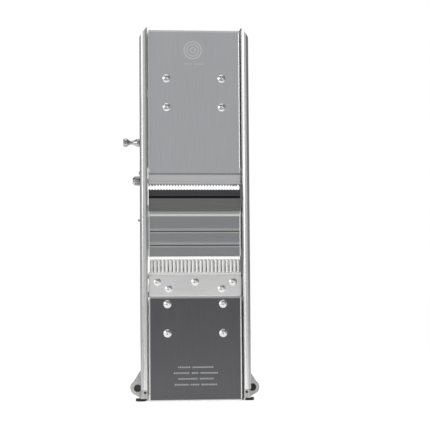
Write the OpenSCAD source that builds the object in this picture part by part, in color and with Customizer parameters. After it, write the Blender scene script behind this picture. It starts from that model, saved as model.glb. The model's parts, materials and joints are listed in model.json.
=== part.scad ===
// Twin-station mandoline slicer standing on its foot end, runway face towards -Y.
// X is the width, +Z runs up the rails, y = 0 is the middle of the rail depth.

/* [Frame] */
// Length of the side rails
rail_len = 400; // [300:5:500]
// Clear width between the two rail webs
bay_w = 101.2; // [80:0.2:140]
// Depth of a rail web
rail_d = 28; // [20:1:40]
// Sheet thickness of a rail
rail_t = 1.5; // [1:0.1:2.5]
// Radius of the rolled front of a rail
bead_r = 4.05; // [3:0.05:6]
// Height at which the front flange stops above the foot
flange_z = 12.4; // [8:0.1:30]

/* [Runway] */
// Width of the ramps
ramp_w = 100; // [78:0.5:138]
// Sheet thickness of the ramps
ramp_t = 1.2; // [0.8:0.1:2]
// Depth of the runway behind the rail fronts
recess = 7.5; // [5:0.5:12]
// Lower edge of the upper ramp
upper_z0 = 243.2; // [242.8:0.1:246]
// Upper edge of the upper ramp
upper_z1 = 398; // [330:1:400]
// Upper edge of the lower ramp
lower_z1 = 111; // [100:0.1:111.2]
// Lower edge of the lower ramp
lower_z0 = 1.5; // [1:0.5:10]
// Height of the upper ramp axle
upper_axle_z = 330; // [320:1:340]
// Height of the lower ramp axle
lower_axle_z = 87.5; // [80:0.5:95]

/* [Blades] */
// Pitch of the serrated edge
wave_p = 3.13; // [2.4:0.01:4]
// Tip of the serrated edge
serrated_z = 226; // [222:0.5:230]
// Edge of the straight blade
straight_z = 153.1; // [152.6:0.1:153.6]
// Number of fluted fingers, one more than the julienne blades between them
comb_n = 24; // [8:2:30]
// Pitch of the fingers and of the julienne blades
comb_p = 4.05; // [3:0.05:10]
// Radius of a fluted finger
finger_r = 1.62; // [1.2:0.02:1.66]
// Upper end of the fingers
finger_z = 151; // [148:0.1:151.4]
// Thickness of one julienne blade
comb_t = 0.35; // [0.25:0.05:0.4]

/* [Controls] */
// Height of the upper cam shaft
upper_cam_z = 236; // [234:0.5:240]
// Height of the lower cam shaft
lower_cam_z = 113.5; // [108:0.5:120]
// Radius of the cam shafts
cam_shaft_r = 3.2; // [2.5:0.1:4]
// Reach of the upper lever from its shaft to its knob
lever_l = 41.5; // [30:0.5:60]

/* [Leg] */
// Height of the leg hinge
leg_z = 193; // [150:1:220]
// Distance of the leg hinge behind the rail middle
leg_y = 23; // [22:0.5:28]
// Width of a leg arm
leg_w = 12; // [8:0.5:16]

/* [Hidden] */
$fn = 48;
fit = 0.06;
half = bay_w / 2;
outer = half + rail_t;
yf = -rail_d / 2;
yb = rail_d / 2;
face = yf + recess;
back = face + ramp_t;
axle_y = 3;
axle_r = 3;
cam_y = 9;
lever_swing = 80;
comb_y = 6.5;
comb_z = 133;
plate_z0 = 154.4;
plate_z1 = 202;
bed = face + 2;
waves = floor((half - 3) / wave_p);
lever_x = 55.8;
lever_t = 1.8;
plug_x = 61.6;
plug_z = 13.9;
pad_x = 57.9;
pad_y = 4;
rivet_x = 29.8;
rivet_dz = 15.6;

// A cylinder along X from x0 to x1 at the given depth and height
module rod(x0, x1, y, z, r) {
  translate([x0, y, z]) rotate([0, 90, 0]) cylinder(r = r, h = x1 - x0);
}

// A cylinder along Y from y0 to y1
module post(x, z, y0, y1, r) {
  translate([x, y1, z]) rotate([90, 0, 0]) cylinder(r = r, h = y1 - y0);
}

// A box given by two opposite corners
module block(a, b) {
  translate(a) cube(b - a);
}

// A section drawn in Y and Z, drawn out along X between x0 and x1
module along_x(x0, x1, pts) {
  translate([x0, 0, 0]) rotate([90, 0, 90]) linear_extrude(x1 - x0) polygon(pts);
}

// An outline drawn in X and Z, drawn out along Y between y0 and y1
module along_y(y0, y1, pts) {
  translate([0, y1, 0]) rotate([90, 0, 0]) linear_extrude(y1 - y0) polygon(pts);
}

// The low dome of a rivet or screw head, standing on z = 0
module dome(r, h) {
  big = (r * r + h * h) / (2 * h);
  intersection() {
    translate([0, 0, h - big]) sphere(r = big, $fn = 64);
    cylinder(r = r, h = h);
  }
}

// A rivet along Y with its dimpled dome in front of the plane y0 and its tail behind y1
module rivet_y(x, z, y0, y1, r, h) {
  translate([x, y0, z]) rotate([90, 0, 0]) difference() {
    dome(r, h);
    translate([0, 0, h - 0.4]) cylinder(r1 = r * 0.16, r2 = r * 0.48, h = 0.6);
  }
  post(x, z, y0, y1, r / 2);
  post(x, z, y1, y1 + 1, r * 0.75);
}

// A socket head screw along X, its head outwards from the face at x0
module screw_x(x0, len, y, z, side) {
  translate([x0, y, z]) rotate([0, side * 90, 0]) {
    difference() {
      dome(3.4, 2);
      translate([0, 0, 0.9]) cylinder(r = 1.4, h = 2, $fn = 6);
    }
    translate([0, 0, -len]) cylinder(r = 1.7, h = len);
  }
}

// Positions of the screws through a rail web: [y, z, hole radius]
tie_pts = [[3, 6], [11, rail_len - 12]];
carrier_pts = [[4, 170], [4, 201]];
foot_pts = [[-2.8, 8], [-2.8, 25]];
screw_hole = 1.75;

/* Frame */
module web_hole(y, z, r) {
  rod(half - 1, outer + 1, y, z, r);
}

module rail() {
  roll = yf + bead_r;
  lip = half + 2 * bead_r;
  intersection() {
    difference() {
      union() {
        difference() {
          translate([half + bead_r, roll, 0]) cylinder(r = bead_r, h = rail_len);
          translate([half + bead_r, roll, -1]) cylinder(r = bead_r - rail_t, h = rail_len + 2);
          block([half - 1, roll, -1], [lip + 1, roll + 10, rail_len + 1]);
        }
        block([half, roll, 0], [outer, yb, rail_len]);
        block([lip - rail_t, roll, 0], [lip, roll + 3.5, rail_len]);
        along_x(half, outer, [
          [yb - 1, leg_z - 22], [yb, leg_z - 22], [leg_y + 2, leg_z - 9],
          [leg_y + 7, leg_z - 4], [leg_y + 7, leg_z + 4], [leg_y + 2, leg_z + 9],
          [yb, leg_z + 22], [yb - 1, leg_z + 22]
        ]);
      }
      translate([outer, yf - 1, -1]) cube([20, rail_d, flange_z + 1]);
      web_hole(axle_y, upper_axle_z, axle_r);
      web_hole(axle_y, lower_axle_z, axle_r);
      web_hole(cam_y, upper_cam_z, cam_shaft_r + fit);
      web_hole(cam_y, lower_cam_z, cam_shaft_r + fit);
      web_hole(comb_y, comb_z, 3 + fit);
      web_hole(leg_y, leg_z, 3);
      for (p = tie_pts) web_hole(p[0], p[1], screw_hole);
      for (p = carrier_pts) web_hole(p[0], p[1], screw_hole);
      for (p = foot_pts) web_hole(p[0], p[1], screw_hole);
    }
    along_y(yf - 1, leg_y + 10, [
      [half - 1, 0.6], [half - 1, rail_len], [half + 0.6, rail_len],
      [outer + 3.8, rail_len - 6], [outer + 8, rail_len - 12], [outer + 8, 0.6]
    ]);
    along_x(half - 2, outer + 12, [
      [yf - 1, 0.6], [yf - 1, rail_len - 1], [yf, rail_len], [yb - 7, rail_len],
      [yb, rail_len - 7], [leg_y + 10, rail_len - 30], [leg_y + 10, 0.6]
    ]);
  }
}

module left_rail() color("Silver") mirror([1, 0, 0]) difference() {
  rail();
  rod(half - 1, outer + 1, axle_y, leg_z, 1.25);
}

module right_rail() color("Silver") rail();

module tie(y0, y1, z0, z1, p) {
  difference() {
    union() {
      block([-half, y0, z0], [half, y1, z0 + 3]);
      for (s = [0, 1]) mirror([s, 0, 0]) block([half - 6, y0, z0], [half, y1, z1]);
    }
    rod(-half - 1, half + 1, p[0], p[1], screw_hole);
  }
}

module bottom_tie() color("Silver") tie(-0.6, 9, 0, 11, tie_pts[0]);

module top_tie() color("Silver") translate([0, 0, rail_len - 7])
  mirror([0, 0, 1]) tie(8.4, 13.6, 0, 10, [11, 5]);

module tie_screws() color("Silver") for (s = [0, 1], p = tie_pts)
  mirror([s, 0, 0]) screw_x(outer, 6, p[0], p[1], 1);

module cast_foot() {
  difference() {
    intersection() {
      union() {
        along_x(outer, outer + 5, [
          [-9, 3.1], [-10, 4], [-10, 30], [-7, 33], [9, 33], [12, 30], [12, 4], [11, 3.1]
        ]);
        along_y(1, 12, [
          [outer, 3.1], [58, 3.1], [66.3, 8.2], [68.3, 16], [58.4, 32], [outer, 33]
        ]);
        post(plug_x, plug_z, 1, 12, 7.6);
        along_y(-10, 1, [[outer, 3.1], [outer + 6.6, 3.1], [outer + 5, 12], [outer, 12]]);
      }
      along_y(-11, 13, [[outer, 3.1], [61.4, 3.1], [68, 8.4], [72, 14], [72, 40], [outer, 40]]);
    }
    post(plug_x, plug_z, 0, 13, 4);
    post(outer + 1.9, 9.4, -11, -3, 1.5);
    for (p = foot_pts) rod(outer - 1, outer + 20, p[0], p[1], screw_hole);
    for (p = tie_pts) rod(outer - 1, outer + 2.6, p[0], p[1], 3.8);
    for (p = foot_pts) rod(outer + 3, outer + 20, p[0], p[1], 3.7);
  }
}

module left_cast_foot() color("LightGray") mirror([1, 0, 0]) cast_foot();

module right_cast_foot() color("LightGray") cast_foot();

module foot_plugs() color("Black") for (s = [-1, 1])
  translate([s * plug_x, 0, plug_z]) rotate([-90, 0, 0]) rotate_extrude() polygon([
    [0, 0.6], [3.4, 0.6], [4, 1.2], [4, 12], [5.2, 12], [5.2, 13.6], [4, 14.8], [0, 15.4]
  ]);

module foot_screws() color("Silver") for (s = [0, 1], p = foot_pts)
  mirror([s, 0, 0]) screw_x(outer + 3, 4.4, p[0], p[1], 1);

module foot_pads() color("Black") for (s = [-1, 1])
  translate([s * pad_x, pad_y, 0]) rotate_extrude() polygon([
    [0, 0], [5, 0], [5.6, 0.6], [5.6, 2.6], [5.2, 3.1], [0, 3.1]
  ]);

module stop_pin() color("Silver") {
  rod(-outer - 8.4, -half, axle_y, leg_z, 1.25);
  rod(-outer - 1, -outer, axle_y, leg_z, 2.4);
}

/* Centre bridge */
// Heights of the two pressed steps of the bridge
steps = [181.6, 166.6];

module centre_plate() color("Gray") {
  difference() {
    union() {
      block([-half + 0.7, face, plate_z0], [half - 0.7, bed, plate_z1]);
      along_x(-half + 0.7, half - 0.7, [
        [face + 0.1, 199.8], [face - 0.6, 199.4], [face - 0.6, 197.6], [face + 0.1, 197.2]
      ]);
      for (s = [0, 1]) mirror([s, 0, 0]) translate([half - 1.7, face + 0.5, plate_z0])
        cylinder(r = 1, h = 43);
    }
    for (z = steps) along_x(-half + 3, half - 3, [
      [face - 0.1, z + 2.8], [face + 0.5, z + 2.3], [face + 0.5, z - 0.5], [face + 1.4, z - 0.6],
      [face + 1.4, z - 1.6], [face - 0.1, z - 1.6]
    ]);
  }
  for (z = steps) along_x(-half + 3, half - 3, [
    [face + 0.2, z - 1.6], [face - 0.3, z - 1.9], [face - 0.3, z - 2.5], [face + 0.2, z - 2.8]
  ]);
}

module blade_carrier() color("Silver") difference() {
  union() {
    along_x(-half, half, [
      [bed, 209], [bed, 172], [bed + 1.5, 172], [bed + 1.5, 162],
      [bed + 3, 162], [bed + 3, 209]
    ]);
    block([-half + 2.4, bed, 209], [half - 2.4, bed + 3, 215]);
    for (s = [0, 1]) mirror([s, 0, 0])
      block([half - 4, bed + 3, 162], [half, 9, 209]);
  }
  for (p = carrier_pts) rod(-half - 1, half + 1, p[0], p[1], screw_hole);
  for (x = [-36, 0, 36]) {
    post(x, 208, bed - 1, bed + 4, screw_hole);
    post(x, 167, bed - 1, bed + 4, screw_hole);
  }
}

module carrier_screws() color("Silver") for (s = [0, 1], p = carrier_pts)
  mirror([s, 0, 0]) screw_x(outer, 4.6, p[0], p[1], 1);

module serrated_blade() color("DimGray") difference() {
  block([-half + 1.2, face + 0.4, plate_z1 + 0.3], [half - 1.2, bed, serrated_z]);
  along_x(-half, half, [
    [face, serrated_z - 7.3], [face + 0.4, serrated_z - 7.3], [bed - 0.2, serrated_z + 0.1],
    [face, serrated_z + 0.1]
  ]);
  along_x(-half, half, [
    [face, serrated_z - 7.5], [face + 0.9, serrated_z - 7.9], [face + 0.9, serrated_z - 9.2],
    [face, serrated_z - 9.6]
  ]);
  for (i = [-waves:waves]) post(i * wave_p, serrated_z + 0.7, face, bed + 1, wave_p / 2 - 0.2);
  for (x = [-36, 0, 36]) post(x, 208, bed - 0.9, bed + 1, screw_hole);
}

module straight_blade() color("Silver") difference() {
  along_x(-half + 1.6, half - 1.6, [
    [bed + 1.5, 171.5], [bed, 171.5], [bed, plate_z0 - 0.1], [face + 0.1, plate_z0 - 0.3],
    [face + 0.1, plate_z0 - 0.7], [face + 0.5, straight_z], [bed + 1.5, plate_z0]
  ]);
  for (x = [-36, 0, 36]) post(x, 167, bed + 0.6, bed + 3, screw_hole);
}

module blade_screws() color("Silver") for (x = [-36, 0, 36]) {
  translate([x, bed + 3, 208]) rotate([-90, 0, 0]) dome(3.4, 2);
  post(x, 208, bed - 0.9, bed + 3, 1.7);
  translate([x, bed + 3, 167]) rotate([-90, 0, 0]) dome(3.4, 2);
  post(x, 167, bed + 0.6, bed + 3, 1.7);
}

/* Ramps */
module ramp_sheet(z0, z1, axle_z, deep0, deep1) {
  x = ramp_w / 2;
  edge_r = 0.9;
  difference() {
    union() {
      block([-x + 1.2, face, z0], [x - 1.2, back, z1]);
      for (s = [0, 1]) mirror([s, 0, 0]) {
        translate([x - edge_r, face + 0.4, z0 + 5]) cylinder(r = edge_r, h = z1 - z0 - 8);
        block([x - 1.3, face + 0.4, z0 + 5], [x, -1.2, z1 - 4]);
        block([x - 1.3, -1.2, deep0], [x, 7, deep1]);
        along_y(face, back, [
          [x - 1.5, z0], [x - 0.8, z0 + 1], [x - 0.1, z0 + 5.2], [x - 0.1, z1 - 4.2],
          [x - 0.6, z1 - 0.6], [x - 1.5, z1]
        ]);
      }
    }
    rod(-x - 1, x + 1, axle_y, axle_z, axle_r + 0.6);
    for (s = [0, 1]) mirror([s, 0, 0])
      block([x - 0.7, face - 1, axle_z - 4.5], [x + 1, -1.4, axle_z + 4.5]);
    for (i = [-1, 1], j = [-1, 1])
      post(i * rivet_x, axle_z + j * rivet_dz, face - 1, back + 1, 2.15);
  }
}

module ramp_bracket(z0, z1, axle_z) {
  difference() {
    union() {
      block([-40, back, z0], [40, back + 1.5, z1]);
      for (s = [0, 1]) mirror([s, 0, 0]) along_x(38.4, 40, [
        [back + 1.5, axle_z - 14], [axle_y + 4, axle_z - 6], [axle_y + 6, axle_z - 3],
        [axle_y + 6, axle_z + 3], [axle_y + 4, axle_z + 6], [back + 1.5, axle_z + 14]
      ]);
    }
    rod(-41, 41, axle_y, axle_z, axle_r + fit);
    for (i = [-1, 1], j = [-1, 1])
      post(i * rivet_x, axle_z + j * rivet_dz, back - 1, back + 3, 2.15);
  }
}

module ramp_rivets(axle_z) {
  for (i = [-1, 1], j = [-1, 1])
    rivet_y(i * rivet_x, axle_z + j * rivet_dz, face, back + 1.5, 4.3, 1.5);
}

module axle(z) {
  rod(-outer, outer, axle_y, z, axle_r);
  for (s = [0, 1]) mirror([s, 0, 0]) translate([outer, axle_y, z])
    rotate([0, 90, 0]) dome(4.8, 2.2);
}

module upper_ramp_plate() color("DarkGray") ramp_sheet(upper_z0, upper_z1, upper_axle_z, 250, 391);

module upper_ramp_lip() color("LightGray") difference() {
  along_x(-ramp_w / 2 + 0.5, ramp_w / 2 - 0.5, [
    [face - 0.5, 241.4], [face - 0.5, 238.4], [face + 0.4, 237.8], [face + 0.4, 234.3],
    [face - 0.3, 233.7], [face - 0.3, 231.6], [face + 0.5, 231], [face + 0.7, 229.4],
    [back + 0.7, 229.4], [back + 2, 238], [back + 2, 247.6], [back + 0.1, 247.6], [back + 0.1, 241.4]
  ]);
  for (i = [-waves:waves]) along_y(face - 1, back + 3, [
    [(i - 0.5) * wave_p + 0.1, 229.3], [i * wave_p, 231.6], [(i + 0.5) * wave_p - 0.1, 229.3]
  ]);
}

module upper_ramp_bracket() color("Silver") ramp_bracket(306, 354, upper_axle_z);

module upper_ramp_rivets() color("Silver") ramp_rivets(upper_axle_z);

module upper_axle() color("Silver") axle(upper_axle_z);

module lower_ramp_plate() color("DimGray") ramp_sheet(lower_z0, lower_z1, lower_axle_z, 15, 104);

lip_rivets = [[-40.6, 126.5], [0, 126.5], [40.6, 126.5], [-28.3, 119.2], [28.3, 119.2]];

module lower_finger_plate() color("Gray") difference() {
  union() {
    block([-49.4, face, lower_z1 + 0.4], [49.4, back, 137.4]);
    for (s = [0, 1]) mirror([s, 0, 0]) block([48.2, back, lower_z1 + 0.6], [49.4, 3, 124]);
    along_x(-49.4, 49.4, [
      [face + 0.1, 133.9], [face - 0.9, 134.3], [face - 0.9, 136], [face + 0.1, 136.6]
    ]);
    for (i = [0:comb_n - 1]) translate([(i - (comb_n - 1) / 2) * comb_p, (face + back) / 2, 0]) {
      translate([0, 0, 136.8]) cylinder(r = finger_r, h = finger_z - finger_r - 136.8);
      translate([0, 0, finger_z - finger_r]) sphere(r = finger_r);
    }
  }
  for (p = lip_rivets) post(p[0], p[1], face - 1, back + 1, 2.05);
}

module lower_lip_plate() color("Gainsboro") difference() {
  block([-49.4, face - 0.8, 112.3], [49.4, face, 133.4]);
  for (p = lip_rivets) post(p[0], p[1], face - 2, face + 1, 2.05);
}

module lower_ramp_bracket() color("Silver") difference() {
  union() {
    ramp_bracket(64, 111, lower_axle_z);
    block([-46, back, 111], [46, back + 1.5, 131]);
  }
  for (p = lip_rivets) post(p[0], p[1], back - 1, back + 3, 2.05);
}

module lower_ramp_rivets() color("Silver") ramp_rivets(lower_axle_z);

module lower_lip_rivets() color("Silver") for (p = lip_rivets)
  rivet_y(p[0], p[1], face - 0.8, back + 1.5, 4.1, 1.3);

module lower_axle() color("Silver") axle(lower_axle_z);

/* Controls */
// Cam at the rail side of the runway, its radius falling evenly by drop as the lever turns.
// The way is 1 where the falling side is above the shaft and -1 where it is below
module cam(x, z, r0, drop, way) {
  rise = 335;
  hub_r = cam_shaft_r + 0.2;
  along_x(x - 2, x + 2, [
    for (a = [0:5:355]) let (
      r = a <= lever_swing + 30 ? r0 - drop * a / lever_swing
        : a <= rise ? hub_r
        : hub_r + (r0 - hub_r) * (a - rise) / (360 - rise)
    ) [cam_y - r * cos(a), z + way * r * sin(a)]
  ]);
}

module upper_cam_shaft() color("Silver") {
  rod(-lever_x - 8.8, half + 3.4, cam_y, upper_cam_z, cam_shaft_r);
  rod(-lever_x, -outer - 0.3, cam_y, upper_cam_z, 5.2);
  for (x = [-44, 44]) cam(x, upper_cam_z, 11.2, 5.8, -1);
}

module upper_lever_arm() color("Silver") difference() {
  x0 = -lever_x - lever_t;
  top = upper_cam_z + lever_l;
  union() {
    rod(x0, -lever_x, cam_y, upper_cam_z, 6.5);
    rod(x0, -lever_x, cam_y, top, 4.5);
    along_x(x0, -lever_x, [
      [cam_y - 6, upper_cam_z + 1], [cam_y - 4, top], [cam_y + 4, top], [cam_y + 6, upper_cam_z + 1]
    ]);
  }
  rod(x0 - 1, -lever_x + 1, cam_y, upper_cam_z, cam_shaft_r);
  rod(x0 - 1, -lever_x + 1, cam_y, top, 2);
  rod(x0 - 1, -lever_x + 1, cam_y, upper_cam_z + 8.4, 1.5);
}

module upper_lever_knob() color("Silver")
  translate([-lever_x - lever_t, cam_y, upper_cam_z + lever_l]) rotate([0, -90, 0])
  rotate_extrude() polygon([
    [0, -2.6], [3.2, -2.6], [3.2, -1.8], [2, -1.8], [2, 0], [4.3, 0], [4.5, 1.6], [4.2, 3.4],
    [3.2, 5.4], [2.3, 7.4], [1.9, 9.2], [2.2, 11], [3, 12.4], [4.1, 13.4], [4.6, 14.2],
    [4.6, 17.2], [4, 18], [0, 18]
  ]);

module upper_lever_rivet() color("Silver") {
  translate([-lever_x - lever_t, cam_y, upper_cam_z + 8.4]) rotate([0, -90, 0]) dome(2.6, 1.7);
  rod(-lever_x - lever_t, -lever_x + 0.4, cam_y, upper_cam_z + 8.4, 1.5);
}

module upper_lock_nut() color("Silver") difference() {
  x = -lever_x - lever_t - 0.1;
  translate([x, cam_y, upper_cam_z]) rotate([0, -90, 0]) rotate_extrude() polygon([
    [0, 0], [4.6, 0], [5, 0.5], [5, 5.4], [4.4, 6.4], [3, 7.8], [0, 7.8]
  ]);
  rod(x - 7.1, x + 1, cam_y, upper_cam_z, cam_shaft_r + fit);
  for (a = [0:30:330]) translate([x - 2.5, cam_y, upper_cam_z]) rotate([a, 0, 0])
    translate([0, 5.35, 0]) rotate([0, 90, 0]) cylinder(r = 0.85, h = 8, center = true);
}

module lower_cam_shaft() color("Silver") {
  rod(-half - 3.4, 58.4, cam_y, lower_cam_z, cam_shaft_r);
  for (x = [-44, 44]) cam(x, lower_cam_z, 11.9, 1.6, 1);
}

module lower_lever_arm() color("Silver") difference() {
  union() {
    rod(56, 57.8, cam_y, lower_cam_z, 6.5);
    rod(56, 57.8, cam_y, lower_cam_z - 36, 4.5);
    along_x(56, 57.8, [
      [cam_y - 6, lower_cam_z - 1], [cam_y - 4, lower_cam_z - 36],
      [cam_y + 4, lower_cam_z - 36], [cam_y + 6, lower_cam_z - 1]
    ]);
  }
  rod(55, 59, cam_y, lower_cam_z, cam_shaft_r);
  rod(55, 59, cam_y, lower_cam_z - 36, 2);
}

module lower_lever_knob() color("Silver")
  translate([55.4, cam_y, lower_cam_z - 36]) rotate([0, 90, 0]) rotate_extrude() polygon([
    [0, 0], [3, 0], [3, 0.6], [2, 0.6], [2, 2.4], [4.2, 2.4], [4.4, 2.8], [4.4, 3.4], [0, 3.4]
  ]);

module comb_bar() color("Gray") difference() {
  union() {
    block([-47, 1.5, 127], [47, 11.5, 139]);
    block([-47, 3.5, 139], [47, 5, 150]);
  }
  rod(-49, 49, comb_y, comb_z, 3);
}

module comb_blades() color("Silver") for (i = [1:comb_n - 1])
  translate([(i - comb_n / 2) * comb_p, 0, 0]) along_x(-comb_t / 2, comb_t / 2, [
    [1.5, 131], [1.5, 139], [3.5, 139], [3.5, 149.6], [1, 150.8], [face + 1.9, 150.8],
    [face + 1.1, 149.8], [face + 0.9, 143.5], [-2, 142.5], [-0.5, 139], [-0.5, 131]
  ]);

module comb_shaft() color("Silver") rod(-half - 3, 58, comb_y, comb_z, 3);

module comb_lever() color("Silver") difference() {
  union() {
    rod(56, 57.8, comb_y, comb_z, 5.5);
    along_x(56, 57.8, [
      [comb_y - 5.4, comb_z], [comb_y - 3, comb_z + 26], [comb_y + 3, comb_z + 26],
      [comb_y + 5.4, comb_z]
    ]);
    rod(53, 57.8, comb_y, comb_z + 26, 4);
  }
  rod(55, 59, comb_y, comb_z, 3);
}

/* Leg */
module leg_arm() {
  difference() {
    union() {
      rod(outer + 0.3, outer + 2.7, leg_y, leg_z, leg_w / 2 + 1);
      block([outer + 0.3, leg_y - leg_w / 2, 3], [outer + 2.7, leg_y + leg_w / 2, leg_z]);
    }
    rod(outer, outer + 3, leg_y, leg_z, 3 + fit);
    rod(outer, outer + 3, leg_y, 34, 4);
  }
}

module leg_left_arm() color("Silver") mirror([1, 0, 0]) leg_arm();

module leg_right_arm() color("Silver") leg_arm();

module leg_crossbar() color("Silver") {
  rod(-outer - 2.7, outer + 2.7, leg_y, 34, 4);
  for (s = [0, 1]) mirror([s, 0, 0]) rod(outer + 2.7, outer + 3.9, leg_y, 34, 5);
}

module leg_pads() color("Black") for (s = [0, 1]) mirror([s, 0, 0]) difference() {
  along_x(outer - 5, outer + 5.4, [
    [leg_y - 8, 1.2], [leg_y - 7, 0], [leg_y + 7, 0], [leg_y + 8, 1.2],
    [leg_y + 8, 15], [leg_y + 7, 16], [leg_y - 7, 16], [leg_y - 8, 15]
  ]);
  block([outer + 0.3, leg_y - leg_w / 2, 3], [outer + 2.7, leg_y + leg_w / 2, 20]);
}

module leg_hinge_pins() color("Silver") for (s = [0, 1]) mirror([s, 0, 0]) {
  rod(half - 1, outer + 2.9, leg_y, leg_z, 3);
  rod(half - 1.8, half, leg_y, leg_z, 5);
  translate([outer + 2.9, leg_y, leg_z]) rotate([0, 90, 0]) dome(5, 2.2);
}

left_rail();
right_rail();
top_tie();
bottom_tie();
tie_screws();
left_cast_foot();
right_cast_foot();
foot_plugs();
foot_screws();
foot_pads();
centre_plate();
blade_carrier();
carrier_screws();
serrated_blade();
straight_blade();
blade_screws();
stop_pin();
upper_ramp_plate();
upper_ramp_lip();
upper_ramp_bracket();
upper_ramp_rivets();
upper_axle();
upper_cam_shaft();
upper_lever_arm();
upper_lever_knob();
upper_lever_rivet();
upper_lock_nut();
lower_ramp_plate();
lower_finger_plate();
lower_lip_plate();
lower_ramp_bracket();
lower_ramp_rivets();
lower_lip_rivets();
lower_axle();
lower_cam_shaft();
lower_lever_arm();
lower_lever_knob();
comb_bar();
comb_blades();
comb_shaft();
comb_lever();
leg_left_arm();
leg_right_arm();
leg_crossbar();
leg_pads();
leg_hinge_pins();
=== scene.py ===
import json
import math

import bmesh
import bpy
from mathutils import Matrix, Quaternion, Vector


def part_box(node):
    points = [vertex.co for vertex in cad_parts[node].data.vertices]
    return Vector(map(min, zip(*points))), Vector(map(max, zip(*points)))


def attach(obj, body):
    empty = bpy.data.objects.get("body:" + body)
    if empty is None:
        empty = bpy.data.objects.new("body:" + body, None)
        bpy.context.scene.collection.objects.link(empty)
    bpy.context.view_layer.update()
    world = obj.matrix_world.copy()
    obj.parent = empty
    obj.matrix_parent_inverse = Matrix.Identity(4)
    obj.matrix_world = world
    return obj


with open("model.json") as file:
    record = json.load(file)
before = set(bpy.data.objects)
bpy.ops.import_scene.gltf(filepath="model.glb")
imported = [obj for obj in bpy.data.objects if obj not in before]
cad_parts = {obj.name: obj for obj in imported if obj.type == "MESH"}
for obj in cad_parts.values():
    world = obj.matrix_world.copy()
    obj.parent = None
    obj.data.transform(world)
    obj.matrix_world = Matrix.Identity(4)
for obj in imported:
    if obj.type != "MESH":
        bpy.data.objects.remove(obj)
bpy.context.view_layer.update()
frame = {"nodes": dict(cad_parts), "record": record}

MM = 0.001


# ---------------------------------------------------------------- materials
def new_material(name):
    mat = bpy.data.materials.new(name)
    mat.use_nodes = True
    tree = mat.node_tree
    return mat, tree, tree.nodes["Principled BSDF"]


def noise(tree, scale, stretch=(1, 1, 1), detail=4.0, turn=(0, 0, 0)):
    """A noise in the row frame, drawn out along the axes whose stretch is small."""
    coord = tree.nodes.new("ShaderNodeTexCoord")
    mapping = tree.nodes.new("ShaderNodeMapping")
    mapping.inputs["Scale"].default_value = stretch
    mapping.inputs["Rotation"].default_value = turn
    tex = tree.nodes.new("ShaderNodeTexNoise")
    tex.inputs["Scale"].default_value = scale
    tex.inputs["Detail"].default_value = detail
    tree.links.new(coord.outputs["Object"], mapping.inputs["Vector"])
    tree.links.new(mapping.outputs["Vector"], tex.inputs["Vector"])
    return tex.outputs["Fac"]


def ranged(tree, value, low, high, start=0.3, end=0.7):
    node = tree.nodes.new("ShaderNodeMapRange")
    node.inputs["From Min"].default_value = start
    node.inputs["From Max"].default_value = end
    node.inputs["To Min"].default_value = low
    node.inputs["To Max"].default_value = high
    tree.links.new(value, node.inputs["Value"])
    return node.outputs["Result"]


def math_node(tree, op, a, b=None):
    node = tree.nodes.new("ShaderNodeMath")
    node.operation = op
    tree.links.new(a, node.inputs[0])
    if isinstance(b, (int, float)):
        node.inputs[1].default_value = b
    elif b is not None:
        tree.links.new(b, node.inputs[1])
    return node.outputs[0]


def mix(tree, fac, a, b):
    """Colour a where fac is 0 and b where it is 1; each is a colour or an output."""
    node = tree.nodes.new("ShaderNodeMix")
    node.data_type = "RGBA"
    for name, value in (("A", a), ("B", b)):
        if isinstance(value, tuple):
            node.inputs[name].default_value = (*value, 1)
        else:
            tree.links.new(value, node.inputs[name])
    tree.links.new(fac, node.inputs["Factor"])
    return node.outputs["Result"]


def bump(tree, shader, height, strength, distance):
    node = tree.nodes.new("ShaderNodeBump")
    node.inputs["Strength"].default_value = strength
    node.inputs["Distance"].default_value = distance
    tree.links.new(height, node.inputs["Height"])
    tree.links.new(node.outputs["Normal"], shader.inputs["Normal"])


def inside(tree, axis, low, high, blur=0.0004):
    """1 where the row-frame position is between low and high; X counts both ways, x is signed."""
    coord = tree.nodes.new("ShaderNodeTexCoord")
    split = tree.nodes.new("ShaderNodeSeparateXYZ")
    tree.links.new(coord.outputs["Object"], split.inputs[0])
    at = split.outputs["XYZ".index(axis.upper())]
    if axis == "X":
        at = math_node(tree, "ABSOLUTE", at)
    rise = ranged(tree, at, 0, 1, low - blur, low + blur)
    fall = ranged(tree, at, 1, 0, high - blur, high + blur)
    return math_node(tree, "MULTIPLY", rise, fall)


def brushed(name, base, rough, grain=(1, 1, 0.02), contrast=0.05, strength=0.12,
            wear=0.04, zones=()):
    """Steel ground along the axis whose stretch is small. Each zone is (axis, low, high, colour), a band
    of painted highlight or painted shade.
    """
    mat, tree, shader = new_material(name)
    lines = noise(tree, 1400, grain, 3.0)
    smudge = noise(tree, 18, (1, 1, 0.6), 4.0)
    scratch = noise(tree, 240, (1, 1, 0.04), 2.0, (0.0, 0.4, 0.0))
    low = tuple(c * (1 - contrast) for c in base)
    high = tuple(min(1.0, c * (1 + contrast)) for c in base)
    colour = mix(tree, ranged(tree, lines, 0, 1), low, high)
    for axis, start, end, tone in zones:
        colour = mix(tree, inside(tree, axis, start, end), colour, tone)
    tree.links.new(colour, shader.inputs["Base Color"])
    rough_out = math_node(tree, "ADD", ranged(tree, lines, rough - wear, rough + wear),
                          ranged(tree, smudge, -wear, wear))
    tree.links.new(rough_out, shader.inputs["Roughness"])
    shader.inputs["Metallic"].default_value = 1.0
    both = math_node(tree, "ADD", lines, ranged(tree, scratch, 0, 0.4, 0.68, 0.8))
    bump(tree, shader, both, strength, 0.00003)
    return mat


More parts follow.
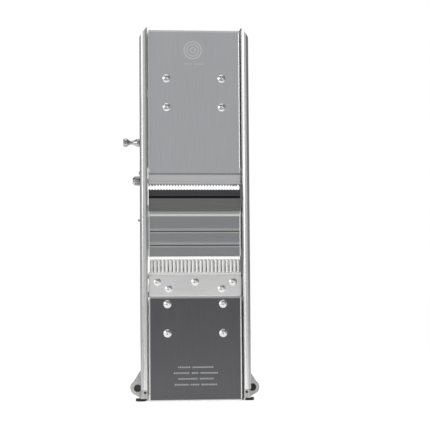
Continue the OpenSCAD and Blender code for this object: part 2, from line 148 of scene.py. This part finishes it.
def cast(name, base):
    mat, tree, shader = new_material(name)
    grit = noise(tree, 900, (1, 1, 1), 6.0)
    cloud = noise(tree, 120, (1, 1, 1), 4.0)
    low = tuple(c * 0.8 for c in base)
    tree.links.new(mix(tree, ranged(tree, cloud, 0, 1), low, base), shader.inputs["Base Color"])
    tree.links.new(ranged(tree, grit, 0.42, 0.6), shader.inputs["Roughness"])
    shader.inputs["Metallic"].default_value = 0.8
    bump(tree, shader, grit, 0.5, 0.0002)
    return mat


def rubber(name):
    mat, tree, shader = new_material(name)
    grit = noise(tree, 1200, (1, 1, 1), 5.0)
    dust = noise(tree, 90, (1, 1, 1), 5.0)
    tree.links.new(mix(tree, ranged(tree, dust, 0, 1, 0.45, 0.8), (0.012, 0.012, 0.013),
                       (0.04, 0.04, 0.042)), shader.inputs["Base Color"])
    tree.links.new(ranged(tree, grit, 0.5, 0.7), shader.inputs["Roughness"])
    bump(tree, shader, grit, 0.4, 0.00015)
    return mat


Z_GRAIN = (1, 1, 0.02)
X_GRAIN = (0.02, 1, 1)
FINE = (1, 1, 1)
BRIGHT = (0.9, 0.9, 0.89)
# painted highlights: bright bands along the side edges of the ramp plates, the centre plate and the
# lower ramp
painted_rim_highlights = (("X", 0.0483, 0.06, BRIGHT),)
# painted highlights: lighter bands on the ledges just above the centre plate's two grooves
painted_ledge_highlights = [("Z", low, low + 0.0030, (0.52, 0.52, 0.52)) for low in (0.1812, 0.1664)]
# painted shade: near-black lines where the centre plate's grooves fall into shadow
painted_groove_shade = [("Z", top - 0.0011, top, (0.10, 0.10, 0.10)) for top in (0.1811, 0.1661)]
# painted highlights: light lines on the steps just below the two grooves
painted_step_highlights = [("Z", top - 0.0012, top, (0.62, 0.61, 0.59)) for top in (0.1800, 0.1650)]
# painted highlights at the centre plate's top edge: a lighter band, with a bright cream line beneath it
painted_top_edge_highlights = [("Z", 0.1993, 0.2022, (0.48, 0.48, 0.48)), ("Z", 0.1970, 0.1995, (0.95, 0.93, 0.89))]
MATERIALS = {
    # frame_steel zones: the darker band on the outer side of both rail beads is painted shade, and the
    # near-black strip on the right rail's inner face is a painted shadow in the gap beside the plates
    "frame_steel": brushed("frame_steel", (0.80, 0.80, 0.79), 0.27, Z_GRAIN, 0.03,
                           zones=(
        ("X", 0.0556, 0.0590, (0.50, 0.50, 0.51)), ("x", 0.0500, 0.0509, (0.07, 0.07, 0.07)))),
    # ramp_steel zones: the lighter band along the top edge is a painted highlight
    "ramp_steel": brushed("ramp_steel", (0.58, 0.585, 0.60), 0.33, Z_GRAIN, zones=(
        ("Z", 0.3962, 0.40, (0.78, 0.78, 0.78)),) + painted_rim_highlights),
    "bridge_steel": brushed("bridge_steel", (0.36, 0.365, 0.37), 0.33, X_GRAIN,
                            zones=(*painted_ledge_highlights, *painted_groove_shade, *painted_step_highlights, *painted_top_edge_highlights, *painted_rim_highlights)),
    # dark_steel is the same steel as the upper ramp, given a much darker base colour: painted shade. Its
    # band at the top edge is a painted highlight
    "dark_steel": brushed("dark_steel", (0.135, 0.135, 0.142), 0.36, Z_GRAIN, zones=(
        ("Z", 0.1092, 0.1115, (0.48, 0.48, 0.47)),) + painted_rim_highlights),
    # blade_steel zones: the darker band from z 218.8 to 230 mm and the near-black strip below it are
    # painted shade
    "blade_steel": brushed("blade_steel", (0.22, 0.22, 0.22), 0.30, X_GRAIN, zones=(
        ("Z", 0.2188, 0.23, (0.10, 0.10, 0.105)), ("Z", 0.2162, 0.2188, (0.015, 0.015, 0.015)))),
    "satin_steel": brushed("satin_steel", (0.80, 0.80, 0.79), 0.42, X_GRAIN, 0.03),
    "finger_steel": brushed("finger_steel", (0.88, 0.88, 0.87), 0.58, Z_GRAIN, 0.03),
    # lip_steel zones: the dark band at z 229.0 to 231.4 mm is painted shade along the lower edge, and
    # the dark tone on the tail behind the front face is a painted shadow in the gap under the upper
    # plate
    "lip_steel": brushed("lip_steel", (0.70, 0.70, 0.71), 0.36, X_GRAIN, 0.03, zones=(
        ("Z", 0.2290, 0.2314, (0.22, 0.21, 0.20)), ("Y", -0.0052, 0.002, (0.10, 0.10, 0.10)))),
    "bright_steel": brushed("bright_steel", (0.58, 0.58, 0.58), 0.30, FINE, 0.03, 0.05),
    "rivet_steel": brushed("rivet_steel", (0.72, 0.72, 0.71), 0.29, FINE, 0.03, 0.05),
    "knob_steel": brushed("knob_steel", (0.42, 0.42, 0.42), 0.22, FINE, 0.03, 0.05),
    "cast_alloy": cast("cast_alloy", (0.60, 0.59, 0.56)),
    "black_rubber": rubber("black_rubber"),
}
SLOT_OF = {s["node"]: s["material_slot"] for s in frame["record"]["subparts"]}
OVERRIDE = {"centre_plate": "bridge_steel", "lower_finger_plate": "finger_steel",
            "upper_ramp_lip": "lip_steel", "comb_bar": "satin_steel",
            "comb_blades": "satin_steel", "upper_lever_knob": "knob_steel",
            "upper_lock_nut": "knob_steel", "upper_ramp_rivets": "rivet_steel",
            "lower_ramp_rivets": "rivet_steel", "lower_lip_rivets": "rivet_steel"}

for node, obj in frame["nodes"].items():
    obj.data.materials.clear()
    obj.data.materials.append(MATERIALS[OVERRIDE.get(node, SLOT_OF[node])])
    soft = obj.modifiers.new("edge", "BEVEL")
    soft.width = 0.0002
    soft.segments = 2
    soft.limit_method = "ANGLE"
    soft.angle_limit = math.radians(50)
    obj.modifiers.new("normals", "WEIGHTED_NORMAL").keep_sharp = True


# ---------------------------------------------------------------- etched marks
def boxes(name, cells, material, body):
    """Thin raised tiles: each cell is (low corner, high corner) in metres."""
    bm = bmesh.new()
    for lo, hi in cells:
        made = bmesh.ops.create_cube(bm, size=1)["verts"]
        for v in made:
            v.co = Vector([(lo[i] + hi[i]) / 2 + v.co[i] * (hi[i] - lo[i]) for i in range(3)])
    mesh = bpy.data.meshes.new(name)
    bm.to_mesh(mesh)
    bm.free()
    obj = bpy.data.objects.new(name, mesh)
    bpy.context.collection.objects.link(obj)
    mesh.materials.append(MATERIALS[material])
    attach(obj, body)
    return obj


def dash_row(z, words, y, height, pitch, width):
    """A row of plain upright dashes in groups, centred on x = 0.8 mm."""
    total = sum(words) + len(words) - 1
    x = 0.0008 - total * pitch / 2
    cells = []
    for n in words:
        for _ in range(n):
            cells.append(((x, y - 0.00003, z - height / 2), (x + width, y + 0.0001, z + height / 2)))
            x += pitch
        x += pitch
    return cells


plate_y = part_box("lower_ramp_bracket")[0].y - 0.0012
rows = []
for z, words in ((0.0359, (7, 12)), (0.0298, (9, 4, 10)), (0.0237, (11, 8)), (0.0175, (8, 5, 9))):
    rows += dash_row(z, words, plate_y, 0.0017, 0.0019, 0.0006)
boxes("lower_etched_rows", rows, "satin_steel", "lower_ramp")


def ring(bm, centre, radius, width, y, turns=48):
    """A thin flat ring facing -Y, with its face at y."""
    loops = []
    for r in (radius, radius - width):
        for depth in (y - 0.00003, y + 0.0001):
            loops.append([bm.verts.new((centre[0] + r * math.cos(a), depth, centre[1] + r * math.sin(a)))
                          for a in (2 * math.pi * i / turns for i in range(turns))])
    outer_f, outer_b, inner_f, inner_b = loops
    for a, b in ((outer_f, inner_f), (inner_f, inner_b), (inner_b, outer_b), (outer_b, outer_f)):
        for i in range(turns):
            j = (i + 1) % turns
            bm.faces.new((a[i], a[j], b[j], b[i]))


emblem_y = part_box("upper_ramp_bracket")[0].y - 0.0012
bm = bmesh.new()
centre = (-0.0011, 0.3765)
ring(bm, centre, 0.0098, 0.0012, emblem_y)
ring(bm, centre, 0.0068, 0.0010, emblem_y)
ring(bm, centre, 0.0034, 0.0012, emblem_y)
bmesh.ops.recalc_face_normals(bm, faces=bm.faces)
mesh = bpy.data.meshes.new("upper_etched_rings")
bm.to_mesh(mesh)
bm.free()
mesh.materials.append(MATERIALS["satin_steel"])
emblem = bpy.data.objects.new("upper_etched_rings", mesh)
bpy.context.collection.objects.link(emblem)
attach(emblem, "upper_ramp")
boxes("upper_etched_row", dash_row(0.3615, (6, 8), emblem_y, 0.0011, 0.0014, 0.0008), "satin_steel",
      "upper_ramp")


# ---------------------------------------------------------------- stage and light
def plane(name, size, location, rotation=(0, 0, 0)):
    bpy.ops.mesh.primitive_plane_add(size=1, location=location, rotation=rotation)
    obj = bpy.context.object
    obj.name = name
    obj.scale = (size[0], size[1], 1)
    return obj


floor_mat, floor_tree, floor_shader = new_material("floor")
floor_shader.inputs["Base Color"].default_value = (0.93, 0.93, 0.93, 1)
floor_shader.inputs["Roughness"].default_value = 0.8
floor_shader.inputs["Emission Color"].default_value = (1, 1, 1, 1)
floor_shader.inputs["Emission Strength"].default_value = 0.62
floor = plane("floor", (5, 3.4), (0, 1.2, -0.0002))
floor.data.materials.append(floor_mat)


def area(name, location, target, size, power, tone=(1, 1, 1)):
    data = bpy.data.lights.new(name, "AREA")
    data.shape = "RECTANGLE"
    data.size, data.size_y = size
    data.energy = power
    data.color = tone
    obj = bpy.data.objects.new(name, data)
    bpy.context.collection.objects.link(obj)
    obj.location = location
    aim = Vector(target) - Vector(location)
    obj.rotation_euler = aim.to_track_quat("-Z", "Y").to_euler()
    return obj


area("key", (-1.25, -1.1, 0.75), (0, 0, 0.2), (0.7, 1.2), 6)
area("top", (0, 0.1, 1.6), (0, 0, 0.2), (1.4, 1.0), 4)

world = bpy.data.worlds.new("studio")
bpy.context.scene.world = world
world.use_nodes = True
wt = world.node_tree
coord = wt.nodes.new("ShaderNodeTexCoord")
split = wt.nodes.new("ShaderNodeSeparateXYZ")
wt.links.new(coord.outputs["Generated"], split.inputs[0])
go_x, go_y, go_z = (split.outputs[axis] for axis in "XYZ")
height = math_node(wt, "ABSOLUTE", go_z)
left = mix(wt, ranged(wt, go_z, 0, 1, -0.02, 0.12), (0.22, 0.22, 0.225), (1.0, 1.0, 1.0))
right = mix(wt, ranged(wt, go_y, 0, 1, -0.45, -0.75), (0.26, 0.26, 0.265), (0.6, 0.6, 0.6))
side = mix(wt, ranged(wt, go_x, 0, 1, -0.1, 0.1), left, right)
side = mix(wt, ranged(wt, go_y, 0, 1, 0.1, 0.4), side, (0.30, 0.30, 0.305))
side = mix(wt, ranged(wt, height, 0, 1, 0.35, 0.5), side, (0.10, 0.10, 0.105))
side = mix(wt, ranged(wt, go_z, 0, 1, 0.75, 0.9), side, (0.9, 0.9, 0.9))
front = mix(wt, ranged(wt, go_z, 0, 1, -0.3, 0.35), (0.36, 0.36, 0.37), (0.74, 0.74, 0.75))
around = mix(wt, ranged(wt, go_y, 1, 0, -0.97, -0.78), side, front)
lit = wt.nodes.new("ShaderNodeLightPath")
shown = mix(wt, lit.outputs["Is Camera Ray"], around, (1.0, 1.0, 1.0))
wt.links.new(shown, wt.nodes["Background"].inputs["Color"])
wt.nodes["Background"].inputs["Strength"].default_value = 1.0

# ---------------------------------------------------------------- camera
cam_data = bpy.data.cameras.new("camera")
cam = bpy.data.objects.new("camera", cam_data)
bpy.context.collection.objects.link(cam)
bpy.context.scene.camera = cam
aim_at = Vector((0.02107, -0.014, 0.1977))
cam.location = (-0.13, -1.6, 0.09)
way = aim_at - cam.location
cam.rotation_mode = "QUATERNION"
cam.rotation_quaternion = way.to_track_quat("-Z", "Y") @ Quaternion((0, 0, 1), -0.0072)
cam_data.sensor_width = 36
cam_data.lens = 36 * way.length / 0.4591
bpy.context.scene.view_settings.view_transform = "Standard"
